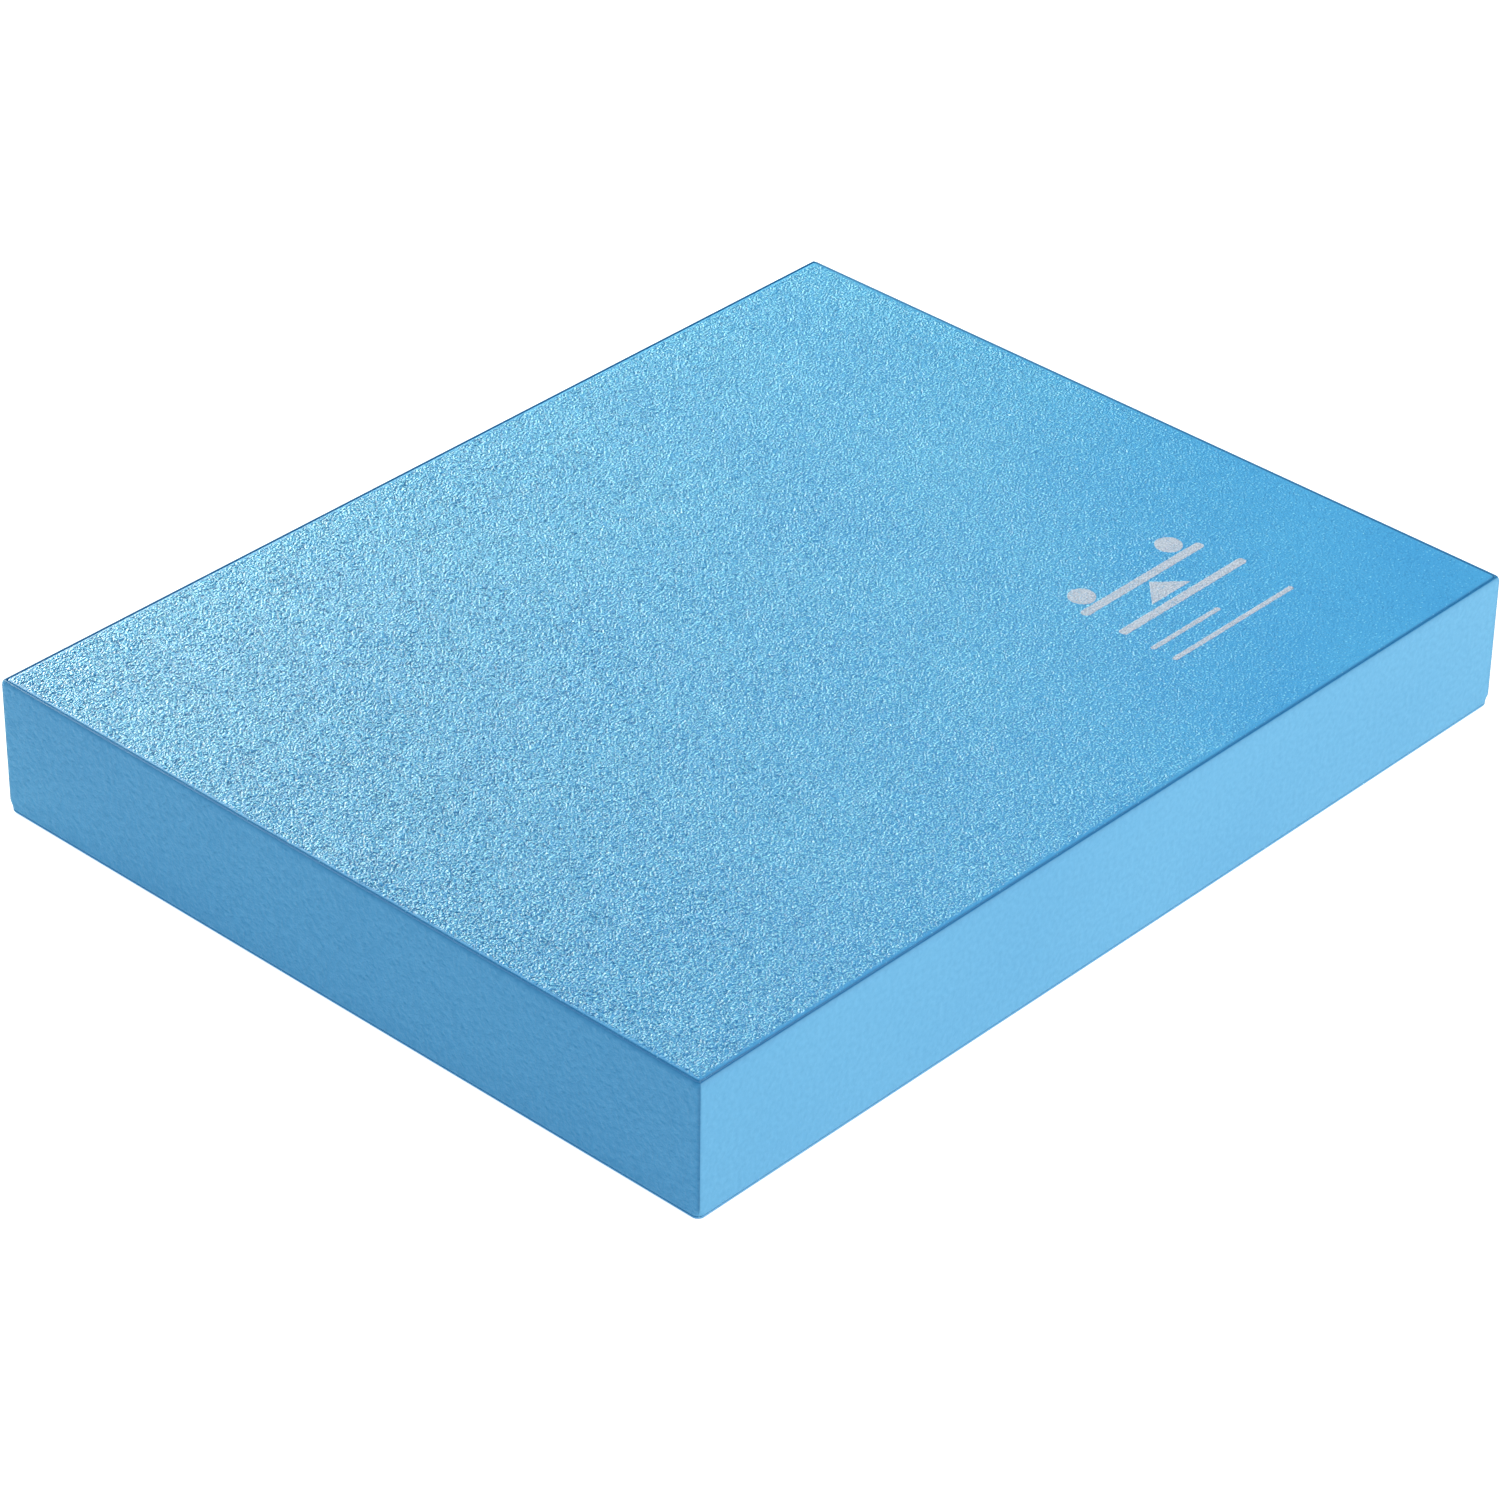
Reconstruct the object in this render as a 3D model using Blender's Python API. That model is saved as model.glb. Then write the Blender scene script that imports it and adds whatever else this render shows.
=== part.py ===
"""Balance pad: a thick rectangular block of soft closed-cell foam that a person stands on, in metres, +Z up.

The pad lies flat with its long side along X and its origin at the centre of its underside. Its core is a
stack of foam slabs, bonded to each other by thin films. Four smooth skins close the sides and meet at the
upright corners. Their upper edges round over to the level of the top. A grained sheet lies on the core
between them, so the seam round it is on the top face, and a second sheet closes the underside. A generic
mark, a level beam on a pivot with plain lines below it, is hot-stamped near one corner of the top sheet:
each island of ink lies in a shallow pocket of its own, flush with the sheet.
"""

from math import asin, cos, hypot, pi, radians, sin

import bpy

# Overall size.
LENGTH = 0.500
WIDTH = 0.400
HEIGHT = 0.066

# Rounding: the upright corners seen from above, the outer edges round the two broad faces, and the edge of
# the top sheet along its seam.
CORNER_RADIUS = 0.005
TOP_EDGE_RADIUS = 0.0013
BOTTOM_EDGE_RADIUS = 0.0012
SEAM_RADIUS = 0.0008

# Thicknesses.
SKIN = 0.0015
BOND_FILM = 0.0004
INK = 0.0002

# The pockets' cutters reach this far above the top face.
POCKET_CUT = 0.0010

# Clearance between pieces that are bonded or that rest on each other.
GAP = 0.0003

# The core, from the bottom up.
SLAB_NAMES = ("foam_slab_lower", "foam_slab_middle", "foam_slab_upper")
FILM_NAMES = ("bond_film_lower", "bond_film_upper")

# The stamped mark. Its lower left corner is on the top skin, and the islands are measured from there.
MARK_CORNER = (0.1010, -0.1440)
BEAM_LENGTH = 0.0800
BEAM_HEIGHT = 0.0046
BEAM_Y = 0.0530
PIVOT_WIDTH = 0.0260
PIVOT_HEIGHT = 0.0125
ISLAND_SPACING = 0.0012
DISC_RADIUS = 0.0062
DISC_OFFSET = 0.0290
# Length, height and centre line of each plain line.
LINES = {
    "print_line_wide": (0.0830, 0.0044, 0.0318),
    "print_line_short": (0.0450, 0.0026, 0.0148),
    "print_line_long": (0.0800, 0.0026, 0.0030),
}

# Segments in a quarter turn of a corner, in a quarter turn of an edge, and in a disc.
CORNER_STEPS = 8
EDGE_STEPS = 5
DISC_STEPS = 40

SMOOTH_BELOW = radians(35)

# Colours are linear RGB.
SKIN_BLUE = (0.105, 0.390, 0.690, 1.0)
SIDE_BLUE = (0.120, 0.420, 0.720, 1.0)
FOAM_BLUE = (0.150, 0.450, 0.730, 1.0)
FILM_AMBER = (0.560, 0.470, 0.300, 1.0)
INK_GREY = (0.640, 0.700, 0.760, 1.0)


def clear_scene():
    """Removes whatever the scene holds."""
    for old in list(bpy.data.objects):
        bpy.data.objects.remove(old)


def material(name, colour, roughness, metallic=0.0):
    """A Principled material of one colour."""
    made = bpy.data.materials.new(name)
    made.use_nodes = True
    shader = made.node_tree.nodes["Principled BSDF"]
    shader.inputs["Base Color"].default_value = colour
    shader.inputs["Roughness"].default_value = roughness
    shader.inputs["Metallic"].default_value = metallic
    made.diffuse_color = colour
    return made


def empty(name, parent=None, location=(0.0, 0.0, 0.0)):
    """An empty that other objects hang on."""
    made = bpy.data.objects.new(name, None)
    made.location = location
    made.parent = parent
    bpy.context.scene.collection.objects.link(made)
    return made


def body_faces(rows, count, first):
    """Faces of a closed body through rows loops of count points, whose points start at index first."""
    faces = [tuple(reversed(range(first, first + count)))]
    for row in range(rows - 1):
        start = first + row * count
        for here in range(count):
            after = (here + 1) % count
            faces.append((start + here, start + after, start + count + after, start + count + here))
    last = first + (rows - 1) * count
    faces.append(tuple(range(last, last + count)))
    return faces


def solid(name, bodies, finish, parent, location=(0.0, 0.0, 0.0), turn=0.0):
    """An object of closed bodies, each a row of loops closed by a flat face at each end.

    A body's loops have the same number of points and turn anticlockwise when seen from the end of its row.
    """
    points = []
    faces = []
    for loops in bodies:
        faces += body_faces(len(loops), len(loops[0]), len(points))
        points += [point for loop in loops for point in loop]
    mesh = bpy.data.meshes.new(name)
    mesh.from_pydata(points, [], faces)
    mesh.shade_smooth()
    mesh.set_sharp_from_angle(angle=SMOOTH_BELOW)
    if finish:
        mesh.materials.append(finish)
    made = bpy.data.objects.new(name, mesh)
    made.parent = parent
    made.location = location
    made.rotation_euler = (0.0, 0.0, turn)
    bpy.context.scene.collection.objects.link(made)
    return made


def rounded_rectangle(half_x, half_y, radius, z, steps=CORNER_STEPS):
    """A loop of points, anticlockwise from above, with a quarter turn at each corner."""
    loop = []
    for quarter, (side_x, side_y) in enumerate(((1, 1), (-1, 1), (-1, -1), (1, -1))):
        centre_x = side_x * (half_x - radius)
        centre_y = side_y * (half_y - radius)
        for step in range(steps + 1):
            angle = (quarter + step / steps) * pi / 2
            loop.append((centre_x + radius * cos(angle), centre_y + radius * sin(angle), z))
    return loop


def pad_outline(inset, z):
    """The pad's outline, moved in by inset."""
    return rounded_rectangle(LENGTH / 2 - inset, WIDTH / 2 - inset, CORNER_RADIUS - inset, z)


def edge_arc(radius, inset, face_z, side_z_sign):
    """(inset, z) of a rounded edge, from the flat face out to the side.

    side_z_sign is -1 where the side runs down from the face and +1 where it runs up.
    """
    arc = []
    for step in range(EDGE_STEPS + 1):
        angle = step / EDGE_STEPS * pi / 2
        arc.append((inset + radius * (1 - sin(angle)), face_z + side_z_sign * radius * (1 - cos(angle))))
    return arc


def make_top_skin(parent):
    """The grained top sheet, inside the side skins, with its upper edge rounded along the seam."""
    inset = SKIN + GAP
    section = [(inset, -SKIN)] + edge_arc(SEAM_RADIUS, inset, 0.0, -1)[::-1]
    loops = [pad_outline(move_in, z) for move_in, z in section]
    finish = material("skin_top", SKIN_BLUE, 0.45)
    return solid("top_skin", [loops], finish, parent, (0.0, 0.0, HEIGHT))


def make_bottom_skin(parent):
    """The grained bottom sheet, flat, with its lower edge rounded."""
    section = edge_arc(BOTTOM_EDGE_RADIUS, 0.0, 0.0, 1) + [(0.0, SKIN)]
    loops = [pad_outline(inset, z) for inset, z in section]
    finish = material("skin_bottom", SKIN_BLUE, 0.50)
    solid("bottom_skin", [loops], finish, parent)


def side_station(centre, side, share, height):
    """One cross-section of a side skin: a thin upright strip with its upper outer edge rounded.

    It lies share of the way through the half corner at the skin's left (-1) or right (+1) end. All of the
    last one's points lie on a plane, half a gap short of the corner's diagonal.
    """
    section = [(0.0, 0.0), (SKIN, 0.0), (SKIN, height)] + edge_arc(TOP_EDGE_RADIUS, 0.0, height, -1)
    station = []
    for inset, z in section:
        radius = CORNER_RADIUS - inset
        turn = share * (pi / 4 - asin(GAP / 2 / radius))
        angle = -pi / 2 + side * turn
        station.append((centre[0] + radius * cos(angle), centre[1] + radius * sin(angle), z))
    return station


def make_side_skin(name, half_run, half_reach, turn, low_z, high_z, finish, parent):
    """A side skin, drawn facing -Y and then turned: a straight run with half of each corner at its ends."""
    centre_x = half_run - CORNER_RADIUS
    centre_y = CORNER_RADIUS - half_reach
    steps = CORNER_STEPS // 2
    shares = [step / steps for step in range(steps + 1)]
    stations = [side_station((-centre_x, centre_y), -1, share, high_z - low_z) for share in shares[::-1]]
    stations += [side_station((centre_x, centre_y), 1, share, high_z - low_z) for share in shares]
    solid(name, [stations], finish, parent, (0.0, 0.0, low_z), turn)


def make_side_skins(parent, low_z, high_z):
    """The four side skins, from the bottom sheet up to the level of the top."""
    finish = material("skin_side", SIDE_BLUE, 0.60)
    half_length = LENGTH / 2
    half_width = WIDTH / 2
    sides = (
        ("side_skin_front", half_length, half_width, 0.0),
        ("side_skin_right", half_width, half_length, pi / 2),
        ("side_skin_back", half_length, half_width, pi),
        ("side_skin_left", half_width, half_length, -pi / 2),
    )
    for name, half_run, half_reach, turn in sides:
        make_side_skin(name, half_run, half_reach, turn, low_z, high_z, finish, parent)


def make_core(parent):
    """The foam slabs and the bond films between them, inside the skins."""
    foam = material("foam", FOAM_BLUE, 0.80)
    film = material("bond_film", FILM_AMBER, 0.40)
    inset = SKIN + GAP
    low_z = SKIN + GAP
    high_z = HEIGHT - SKIN - GAP
    joints = len(FILM_NAMES)
    slab_height = (high_z - low_z - joints * (BOND_FILM + 2 * GAP)) / len(SLAB_NAMES)

    z = low_z
    for number, name in enumerate(SLAB_NAMES):
        loops = [pad_outline(inset, 0.0), pad_outline(inset, slab_height)]
        solid(name, [loops], foam, parent, (0.0, 0.0, z))
        z += slab_height + GAP
        if number < joints:
            loops = [pad_outline(inset, 0.0), pad_outline(inset, BOND_FILM)]
            solid(FILM_NAMES[number], [loops], film, parent, (0.0, 0.0, z))
            z += BOND_FILM + GAP


def bar_outline(length, height, grow):
    """A bar with round ends, starting at the origin and moved out by grow."""
    radius = height / 2 + grow
    rounding = 0.999 * radius
    loop = rounded_rectangle(length / 2 + grow, radius, rounding, 0.0, CORNER_STEPS // 2)
    return [(x + length / 2, y) for x, y, _ in loop]


def disc_outline(grow):
    """A disc about the origin, moved out by grow."""
    turns = [2 * pi * step / DISC_STEPS for step in range(DISC_STEPS)]
    radius = DISC_RADIUS + grow
    return [(radius * cos(turn), radius * sin(turn)) for turn in turns]


def pivot_outline(grow):
    """A triangle with its tip at the origin, moved out by grow.

    Moving its sides out by the same distance scales it about the centre of its inscribed circle.
    """
    half = PIVOT_WIDTH / 2
    slope = hypot(half, PIVOT_HEIGHT)
    inscribed = half * PIVOT_HEIGHT / (half + slope)
    centre_y = inscribed - PIVOT_HEIGHT
    scale = 1 + grow / inscribed
    corners = [(-half, -PIVOT_HEIGHT), (half, -PIVOT_HEIGHT), (0.0, 0.0)]
    return [(x * scale, centre_y + (y - centre_y) * scale) for x, y in corners]


def mark_islands(grow):
    """Name and outline of each island of ink, seen from the mark's corner, moved out by grow."""
    middle = BEAM_LENGTH / 2
    pivot_y = BEAM_Y - BEAM_HEIGHT / 2 - ISLAND_SPACING
    disc_y = BEAM_Y + BEAM_HEIGHT / 2 + ISLAND_SPACING + DISC_RADIUS
    placed = [
        ("print_beam", bar_outline(BEAM_LENGTH, BEAM_HEIGHT, grow), 0.0, BEAM_Y),
        ("print_pivot", pivot_outline(grow), middle, pivot_y),
        ("print_disc_left", disc_outline(grow), middle - DISC_OFFSET, disc_y),
        ("print_disc_right", disc_outline(grow), middle + DISC_OFFSET, disc_y),
    ]
    for name, (length, height, line_y) in LINES.items():
        placed.append((name, bar_outline(length, height, grow), 0.0, line_y))
    return [(name, [(x + at_x, y + at_y) for x, y in outline]) for name, outline, at_x, at_y in placed]


def prism(outline, low_z, high_z):
    """Two loops over an outline."""
    return [[(x, y, z) for x, y in outline] for z in (low_z, high_z)]


def make_mark(parent, top_skin):
    """The islands of ink, and a pocket in the top skin for each."""
    ink = material("ink", INK_GREY, 0.55)
    anchor = empty("stamped_mark", parent, (*MARK_CORNER, HEIGHT))
    for name, outline in mark_islands(0.0):
        solid(name, [prism(outline, -INK, 0.0)], ink, anchor)

    pockets = [prism(outline, -INK - GAP, POCKET_CUT) for _, outline in mark_islands(GAP)]
    cutter = solid("mark_pockets", pockets, None, anchor)
    cutter.hide_render = True
    cutter.display_type = "WIRE"
    cut = top_skin.modifiers.new("pockets", "BOOLEAN")
    cut.operation = "DIFFERENCE"
    cut.solver = "EXACT"
    cut.object = cutter


clear_scene()
pad = empty("balance_pad")
top_skin = make_top_skin(pad)
make_bottom_skin(pad)
make_side_skins(pad, SKIN + GAP, HEIGHT)
make_core(pad)
make_mark(pad, top_skin)
bpy.context.view_layer.update()
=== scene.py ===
"""The looks of a foam balance pad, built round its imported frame. Metres, +Z up.

The frame's plain solids give every place and size. Each foam piece, skin and island of ink is made again
here as a finer mesh. The two broad faces carry their embossed grain as real relief, the side panels lean in
a little to the seam round the top and meet in creased corners, and the ink lies on the grain.
"""

from math import cos, pi, radians, sin

import bpy
import numpy as np
from mathutils import Matrix, Vector


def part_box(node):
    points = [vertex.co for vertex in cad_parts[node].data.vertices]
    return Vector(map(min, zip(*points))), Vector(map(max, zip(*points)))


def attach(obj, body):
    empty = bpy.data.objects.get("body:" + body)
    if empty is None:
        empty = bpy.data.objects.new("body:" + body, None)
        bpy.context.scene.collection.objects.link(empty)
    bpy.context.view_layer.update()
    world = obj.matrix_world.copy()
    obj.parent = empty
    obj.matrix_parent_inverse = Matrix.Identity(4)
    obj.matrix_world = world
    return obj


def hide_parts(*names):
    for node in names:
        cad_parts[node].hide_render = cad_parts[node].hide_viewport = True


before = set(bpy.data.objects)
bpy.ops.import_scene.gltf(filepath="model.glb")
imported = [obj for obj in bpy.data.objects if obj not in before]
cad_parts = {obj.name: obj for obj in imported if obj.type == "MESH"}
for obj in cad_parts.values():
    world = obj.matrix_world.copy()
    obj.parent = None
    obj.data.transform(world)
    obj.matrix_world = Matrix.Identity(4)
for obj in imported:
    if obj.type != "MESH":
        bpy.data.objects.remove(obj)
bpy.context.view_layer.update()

MM = 0.001

# Places and sizes from the frame.
HALF_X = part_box("side_skin_right")[1].x
HALF_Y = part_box("side_skin_back")[1].y
TOP_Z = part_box("top_skin")[1].z
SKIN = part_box("bottom_skin")[1].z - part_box("bottom_skin")[0].z

# The seam round the top sheet lies midway between that sheet and the side skins.
SEAM_INSET = (HALF_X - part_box("top_skin")[1].x + SKIN) / 2
CORNER_RADIUS = 3.5 * MM
TOP_CORNER_RADIUS = 1.6 * MM

# Spacing of the meshes' points.
TOP_STEP = 0.38 * MM
BOTTOM_STEP = 1.00 * MM
SIDE_STEP = 1.00 * MM
INK_STEP = 0.25 * MM


# ---------------------------------------------------------------- meshes


class Shape:
    """Points and faces of one mesh, gathered as arrays."""

    def __init__(self):
        self.points = []
        self.quads = []
        self.polygons = []
        self.groove_shades = []
        self.reliefs = []
        self.count = 0

    def add_points(self, points, groove_shade=0.0, relief=0.0):
        """Adds points, whose last axis is x, y, z, and returns their indices.

        Each point has two values: its groove shade, 0 to 1, which darkens a skin's colour as painted shade
        and on the grain follows the depth of its groove, and how much fine relief it carries.
        """
        flat = np.asarray(points, float).reshape(-1, 3)
        first = self.count
        self.points.append(flat)
        self.groove_shades.append(np.broadcast_to(np.ravel(groove_shade), len(flat)))
        self.reliefs.append(np.broadcast_to(np.ravel(relief), len(flat)))
        self.count += len(flat)
        return np.arange(first, self.count).reshape(np.shape(points)[:-1])

    def add_grid(self, index, flip=False):
        """Faces over a grid of indices, which look up where columns run along x and rows along y."""
        corners = [index[:-1, :-1], index[:-1, 1:], index[1:, 1:], index[1:, :-1]]
        if flip:
            corners.reverse()
        self.quads.append(np.stack([corner.ravel() for corner in corners], 1))

    def add_band(self, inner, outer):
        """Faces between two closed rings, anticlockwise from the side that the faces look to."""
        corners = [inner, outer, np.roll(outer, -1), np.roll(inner, -1)]
        self.quads.append(np.stack(corners, 1))

    def add_polygon(self, ring):
        """One face on a ring."""
        self.polygons.append([int(i) for i in ring])

    def make(self, name, material, node):
        """The object, shaded smooth, in the place of a node of the frame."""
        points = np.concatenate(self.points).astype(np.float32)
        quads = np.concatenate(self.quads).astype(np.int32)
        loose = np.array([i for ring in self.polygons for i in ring], np.int32)
        sizes = np.array([4] * len(quads) + [len(ring) for ring in self.polygons], np.int32)
        starts = np.concatenate([[0], np.cumsum(sizes)[:-1]]).astype(np.int32)
        mesh = bpy.data.meshes.new(name)
        mesh.vertices.add(len(points))
        mesh.vertices.foreach_set("co", points.ravel())
        mesh.loops.add(int(sizes.sum()))
        mesh.loops.foreach_set("vertex_index", np.concatenate([quads.ravel(), loose]))
        mesh.polygons.add(len(sizes))
        mesh.polygons.foreach_set("loop_start", starts)
        mesh.update(calc_edges=True)
        mesh.shade_smooth()
        for label, values in (("groove_shade", self.groove_shades), ("relief", self.reliefs)):
            layer = mesh.attributes.new(label, "FLOAT", "POINT")
            layer.data.foreach_set("value", np.concatenate(values).astype(np.float32))
        mesh.validate()
        mesh.materials.append(material)
        made = bpy.data.objects.new(name, mesh)
        bpy.context.scene.collection.objects.link(made)
        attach(made, "root")
        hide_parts(node)
        return made


def smoothstep(low, high, value):
    """0 at low and before it, 1 at high and after it, and an S between."""
    share = np.clip((value - low) / (high - low), 0.0, 1.0)
    return share * share * (3.0 - 2.0 * share)


def inset_of(x, y, half_x, half_y, radius):
    """How far inside a rounded rectangle's outline each point is."""
    corner_x = np.abs(x) - (half_x - radius)
    corner_y = np.abs(y) - (half_y - radius)
    beyond = np.hypot(np.maximum(corner_x, 0.0), np.maximum(corner_y, 0.0))
    return radius - beyond - np.minimum(np.maximum(corner_x, corner_y), 0.0)


def rounded_grid(half_x, half_y, radius, step):
    """x and y of a grid over a rounded rectangle. The square at each corner becomes a quarter disc."""
    columns = np.linspace(-half_x, half_x, round(2 * half_x / step) + 1)
    rows = np.linspace(-half_y, half_y, round(2 * half_y / step) + 1)
    x, y = np.meshgrid(columns, rows)
    along_x = np.clip((np.abs(x) - half_x + radius) / radius, 0.0, None)
    along_y = np.clip((np.abs(y) - half_y + radius) / radius, 0.0, None)
    reach = np.maximum(along_x, along_y)
    lean = np.minimum(along_x, along_y) / np.maximum(reach, 1e-12) * pi / 4
    angle = np.where(along_x >= along_y, lean, pi / 2 - lean)
    folded = (along_x > 0) & (along_y > 0)
    folded_x = np.sign(x) * (half_x - radius + reach * np.cos(angle) * radius)
    folded_y = np.sign(y) * (half_y - radius + reach * np.sin(angle) * radius)
    return np.where(folded, folded_x, x), np.where(folded, folded_y, y)


def outward_of(x, y, half_x, half_y, radius):
    """The unit direction straight out of a rounded rectangle's outline at each point of it."""
    corner_x = np.abs(x) - (half_x - radius)
    corner_y = np.abs(y) - (half_y - radius)
    out_x = np.maximum(corner_x, 1e-9) * np.sign(x)
    out_y = np.maximum(corner_y, 1e-9) * np.sign(y)
    length = np.hypot(out_x, out_y)
    return out_x / length, out_y / length


def rim_of(grid):
    """The outer points of a grid, anticlockwise."""
    return np.concatenate([grid[0, :-1], grid[:-1, -1], grid[-1, :0:-1], grid[:0:-1, 0]])


# ---------------------------------------------------------------- grain

# Every pattern is drawn from tables that reach this far from the origin both ways.
PATTERN_REACH = 0.40


def value_noise(x, y, pitch, seed):
    """Smooth noise from -1 to 1, with a new value at each pitch."""
    middle = int(PATTERN_REACH / pitch) + 2
    values = np.random.default_rng(seed).uniform(-1.0, 1.0, (2 * middle, 2 * middle))
    column = x / pitch + middle
    row = y / pitch + middle
    j = np.floor(column).astype(int)
    i = np.floor(row).astype(int)
    share_x = smoothstep(0.0, 1.0, column - j)
    share_y = smoothstep(0.0, 1.0, row - i)
    low = values[i, j] * (1 - share_x) + values[i, j + 1] * share_x
    high = values[i + 1, j] * (1 - share_x) + values[i + 1, j + 1] * share_x
    return low * (1 - share_y) + high * share_y


# Short rounded worms. WORM_EDGE is the value of the noise at which a worm reaches its full height, and
# WORM_MEAN is the share of the height that lies over the mean level.
WORM_PITCH = 0.78 * MM
WORM_HEIGHT = 0.46 * MM
WORM_EDGE = 0.50
WORM_MEAN = 0.35

# In patches of this size, the worms run together and their grooves lose this share.
JOINED_PITCH = 1.5 * MM
JOINED_LOSS = 0.35

GRIT_PITCH = 0.75 * MM
GRIT_HEIGHT = 0.12 * MM

# Thin wavy creases. They bend by CREASE_BEND, and come and go in patches.
CREASE_DEPTH = 0.05 * MM
CREASE_HOLLOW = 0.75
CREASE_WIDTH = 0.30 * MM
CREASE_LENGTH = 8.0 * MM
CREASE_SPACING = 3.0 * MM
CREASE_DIRECTION = radians(-47)
CREASE_BEND = 2.4 * MM
CREASE_BEND_PITCH = 4 * MM
CREASE_PATCH_PITCH = 5 * MM
CREASE_PATCH_SPAN = (-0.8, 0.8)
CREASE_PROBE = 0.2 * MM

# Where the noise is nearly level, its slope counts as this much to the metre, so that creases stay thin.
CREASE_LEAST_SLOPE = 40.0

# The grain gets shallower, has less painted shade in its grooves, and is less rough with fewer painted
# highlights on its tips toward the corner at +x, -y. Each loss comes in over a span of x - y.
SHALLOW_LOSS = 0.60
SHALLOW_SPAN = (0.0, 0.42)
GROOVE_SHADE_LOSS = 0.75
GROOVE_SHADE_SPAN = (-0.30, 0.10)
FINE_LOSS = 0.90
FINE_SPAN = (0.10, 0.45)

SWELL_HEIGHT = 0.08 * MM
SWELL_PITCH = 60.0 * MM


def even_noise(x, y, pitch, seed):
    """Smooth noise with no direction of its own: two layers of plain noise, 53 degrees apart."""
    first = value_noise(0.8 * x + 0.6 * y, 0.8 * y - 0.6 * x, pitch, seed)
    second = value_noise(0.96 * x - 0.28 * y, 0.96 * y + 0.28 * x, 1.07 * pitch, seed + 1)
    return first + second


def crease_lines(x, y, seed):
    """Nearness, 0 to 1, to wavy lines that run roughly one way."""
    bend_x = value_noise(x, y, CREASE_BEND_PITCH, seed)
    bend_y = value_noise(x, y, CREASE_BEND_PITCH, seed + 1)

    def field(at_x, at_y):
        along = at_x * cos(CREASE_DIRECTION) + at_y * sin(CREASE_DIRECTION)
        across = at_y * cos(CREASE_DIRECTION) - at_x * sin(CREASE_DIRECTION)
        return value_noise(along * CREASE_SPACING / CREASE_LENGTH, across, CREASE_SPACING, seed + 2)

    warped_x = x + CREASE_BEND * bend_x
    warped_y = y + CREASE_BEND * bend_y
    here = field(warped_x, warped_y)
    slope_x = (field(warped_x + CREASE_PROBE, warped_y) - here) / CREASE_PROBE
    slope_y = (field(warped_x, warped_y + CREASE_PROBE) - here) / CREASE_PROBE
    distance = np.abs(here) / np.maximum(np.hypot(slope_x, slope_y), CREASE_LEAST_SLOPE)
    shown = smoothstep(*CREASE_PATCH_SPAN, value_noise(x, y, CREASE_PATCH_PITCH, seed + 3))
    return np.exp(-((distance / CREASE_WIDTH) ** 2)) * shown


def grain(x, y, seed):
    """Height of the embossed grain over its mean level, and its groove shade, 0 to 1: how deep each point
    lies in a groove, weakened toward the corner at +x, -y, which the skin's colour shows as painted shade.

    Short rounded worms cover the face, with thin grooves between them and longer creases across them.
    """
    worms = np.abs(even_noise(x, y, WORM_PITCH, seed))
    dome = 1.0 - (1.0 - np.clip(worms / WORM_EDGE, 0.0, 1.0)) ** 2
    joined = smoothstep(0.0, 0.9, even_noise(x, y, JOINED_PITCH, seed + 4))
    crease = crease_lines(x, y, seed + 10)
    hollow = np.maximum((1.0 - dome) * (1.0 - JOINED_LOSS * joined), CREASE_HOLLOW * crease)
    height = WORM_HEIGHT * (WORM_MEAN - hollow) + GRIT_HEIGHT * even_noise(x, y, GRIT_PITCH, seed + 6)
    height -= CREASE_DEPTH * crease
    pressed = 1.0 - SHALLOW_LOSS * smoothstep(*SHALLOW_SPAN, x - y)
    swell = SWELL_HEIGHT * value_noise(x, y, SWELL_PITCH, seed + 8)
    # Painted shade in the grooves, weaker toward the corner at +x, -y.
    groove_shade_kept = 1.0 - GROOVE_SHADE_LOSS * smoothstep(*GROOVE_SHADE_SPAN, x - y)
    return height * pressed + swell, hollow * groove_shade_kept


# ---------------------------------------------------------------- materials


def new_material(name):
    """A node material, its tree, its Principled shader, and the place on the object."""
    made = bpy.data.materials.new(name)
    made.use_nodes = True
    tree = made.node_tree
    place = tree.nodes.new("ShaderNodeTexCoord").outputs["Object"]
    return made, tree, tree.nodes["Principled BSDF"], place


def noise_at(tree, place, waves, detail=2.0, roughness=0.5):
    """The factor of a noise of that many waves to the metre."""
    node = tree.nodes.new("ShaderNodeTexNoise")
    node.inputs["Scale"].default_value = waves
    node.inputs["Detail"].default_value = detail
    node.inputs["Roughness"].default_value = roughness
    tree.links.new(place, node.inputs["Vector"])
    return node.outputs["Fac"]


def stored(tree, name):
    """A value stored on the mesh."""
    node = tree.nodes.new("ShaderNodeAttribute")
    node.attribute_name = name
    return node.outputs["Fac"]


def combined(tree, operation, first, second):
    """Two values put together by an operation such as ADD or MULTIPLY."""
    node = tree.nodes.new("ShaderNodeMath")
    node.operation = operation
    tree.links.new(first, node.inputs[0])
    tree.links.new(second, node.inputs[1])
    return node.outputs["Value"]


def carry(tree, value, span, result=(0.0, 1.0)):
    """A value carried from one span to another, and held at its ends."""
    node = tree.nodes.new("ShaderNodeMapRange")
    tree.links.new(value, node.inputs["Value"])
    for socket, number in zip(("From Min", "From Max", "To Min", "To Max"), (*span, *result)):
        node.inputs[socket].default_value = number
    return node.outputs["Result"]


def mix_colours(tree, share, first, second):
    """A mix of two colours, each an RGB tuple or another node's output."""
    node = tree.nodes.new("ShaderNodeMix")
    node.data_type = "RGBA"
    tree.links.new(share, node.inputs["Factor"])
    for label, colour in (("A", first), ("B", second)):
        socket = [s for s in node.inputs if s.name == label and s.type == "RGBA"][0]
        if isinstance(colour, tuple):
            socket.default_value = (*colour, 1.0)
        else:
            tree.links.new(colour, socket)
    return [s for s in node.outputs if s.type == "RGBA"][0]


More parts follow.
